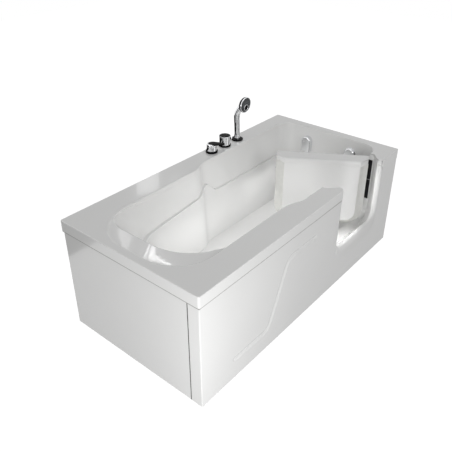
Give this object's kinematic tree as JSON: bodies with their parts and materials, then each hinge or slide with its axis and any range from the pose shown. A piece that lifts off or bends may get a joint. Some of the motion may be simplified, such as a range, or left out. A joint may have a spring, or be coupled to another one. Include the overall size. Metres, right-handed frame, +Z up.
{
  "type": "walk-in bathtub",
  "caption": "White acrylic walk-in bathtub with an inward opening side door, headrest, deck mounted mixer, diverter and hand shower, overflow, pop-up waste and steel frame.",
  "frame": {"origin": "on the floor under the middle of the tub", "axes": "+X along the tub towards the foot end with the door, -Y the door side, +Z up"},
  "size_m": [1.7, 0.85, 0.8782],
  "materials": {
    "white_acrylic": "glossy vacuum formed acrylic",
    "door_acrylic": "glossy acrylic",
    "seal_cream": "matte silicone",
    "black_steel": "satin black powder coat",
    "stainless_steel": "brushed",
    "galvanised_steel": "galvanised",
    "board": "raw board",
    "foot_plastic": "moulded",
    "black_plastic": "gloss",
    "grey_plastic": "moulded",
    "rubber": "matte",
    "copper": "drawn tube",
    "brass": "turned",
    "cartridge_ceramic": "sintered",
    "chrome": "polished"
  },
  "bodies": {
    "tub": {"base_board": "board", "deck_backnuts": "brass", "deck_rings": "black_plastic", "diverter_valve": "brass", "door_frame": "white_acrylic", "filler_pipe": "copper", "filler_spout": "chrome", "filler_tail": "brass", "foot_bushes": "galvanised_steel", "foot_end_panel": "white_acrylic", "frame_cross_rails": "galvanised_steel", "frame_long_rails": "galvanised_steel", "frame_uprights": "galvanised_steel", "front_panel": "white_acrylic", "head_end_panel": "white_acrylic", "hinge_jamb_leaves": "black_steel", "hinge_pins": "stainless_steel", "hinge_screws": "stainless_steel", "hose_gland": "brass", "link_pipe": "copper", "mixer_body": "chrome", "mixer_cartridge": "cartridge_ceramic", "mixer_shank": "brass", "overflow_body": "grey_plastic", "overflow_pipe": "grey_plastic", "overflow_rosette": "chrome", "panel_clips": "galvanised_steel", "shower_socket": "chrome", "sill_brackets": "galvanised_steel", "sill_drain": "black_plastic", "strike_plate": "stainless_steel", "supply_pipes": "copper", "tub_shell": "white_acrylic", "waste_body": "grey_plastic", "waste_flange": "chrome", "waste_gasket": "rubber", "waste_outlet_pipe": "grey_plastic"},
    "door": {"door_outer_pan": "door_acrylic", "door_inner_pan": "door_acrylic", "door_stiffener": "board", "door_top_cap": "door_acrylic", "door_seal": "seal_cream", "hinge_door_leaves": "black_steel", "catch_barrel": "stainless_steel"},
    "catch": {"catch_plunger": "stainless_steel"},
    "mixer_head": {"mixer_collar": "chrome"},
    "mixer_lever": {"mixer_lever": "chrome"},
    "diverter": {"diverter_knob": "chrome"},
    "handset": {"handset_body": "chrome", "spray_face": "black_plastic"},
    "dial": {"spray_dial": "black_plastic"},
    "overflow_knob": {"overflow_knob": "chrome"},
    "plug": {"waste_plug": "chrome"},
    "foot_1": {"levelling_foot_1": "foot_plastic"},
    "foot_2": {"levelling_foot_2": "foot_plastic"},
    "foot_3": {"levelling_foot_3": "foot_plastic"},
    "foot_4": {"levelling_foot_4": "foot_plastic"},
    "foot_5": {"levelling_foot_5": "foot_plastic"},
    "foot_6": {"levelling_foot_6": "foot_plastic"}
  },
  "joints": [
    {"name": "door_hinge", "type": "hinge", "parent": "tub", "child": "door", "pos_m": [0.652, -0.284, 0.4], "axis": [0, 0, -1], "range_deg": [-58, 32]},
    {"name": "catch_press", "type": "slide", "parent": "door", "child": "catch", "axis": [0.5299, -0.848, 0], "range_m": [0, 0.005], "stiffness_N_per_m": 1500, "springref_m": -0.002},
    {"name": "mixer_turn", "type": "hinge", "parent": "tub", "child": "mixer_head", "pos_m": [0.138, 0.375, 0.645], "axis": [0, 0, 1], "range_deg": [-50, 30]},
    {"name": "mixer_lift", "type": "hinge", "parent": "mixer_head", "child": "mixer_lever", "pos_m": [0.12768, 0.38974, 0.6549], "axis": [-0.8192, -0.5736, 0], "range_deg": [0, 22]},
    {"name": "diverter_turn", "type": "hinge", "parent": "tub", "child": "diverter", "pos_m": [0.253, 0.375, 0.64], "axis": [0, 0, 1], "range_deg": [-90, 90]},
    {"name": "handset_lift", "type": "slide", "parent": "tub", "child": "handset", "axis": [0, 0, 1], "range_m": [0, 0.25]},
    {"name": "spray_turn", "type": "hinge", "parent": "handset", "child": "dial", "pos_m": [0.366, 0.31308, 0.81725], "axis": [0, -0.9986, -0.0523], "range_deg": [-60, 60]},
    {"name": "overflow_turn", "type": "hinge", "parent": "tub", "child": "overflow_knob", "pos_m": [0.78, -0.15, 0.518], "axis": [-1, 0, 0], "range_deg": [0, 90]},
    {"name": "plug_lift", "type": "slide", "parent": "tub", "child": "plug", "axis": [0, 0, 1], "range_m": [0, 0.012]},
    {"name": "foot_1_turn", "type": "hinge", "parent": "tub", "child": "foot_1", "pos_m": [-0.775, -0.312, 0], "axis": [0, 0, 1], "continuous": true},
    {"name": "foot_2_turn", "type": "hinge", "parent": "tub", "child": "foot_2", "pos_m": [-0.775, 0.312, 0], "axis": [0, 0, 1], "continuous": true},
    {"name": "foot_3_turn", "type": "hinge", "parent": "tub", "child": "foot_3", "pos_m": [0, -0.312, 0], "axis": [0, 0, 1], "continuous": true},
    {"name": "foot_4_turn", "type": "hinge", "parent": "tub", "child": "foot_4", "pos_m": [0, 0.312, 0], "axis": [0, 0, 1], "continuous": true},
    {"name": "foot_5_turn", "type": "hinge", "parent": "tub", "child": "foot_5", "pos_m": [0.775, -0.312, 0], "axis": [0, 0, 1], "continuous": true},
    {"name": "foot_6_turn", "type": "hinge", "parent": "tub", "child": "foot_6", "pos_m": [0.775, 0.312, 0], "axis": [0, 0, 1], "continuous": true}
  ],
  "couplings": [
    {"joint": "plug_lift", "follows": "overflow_turn", "m_per_rad": 0.0076394}
  ]
}
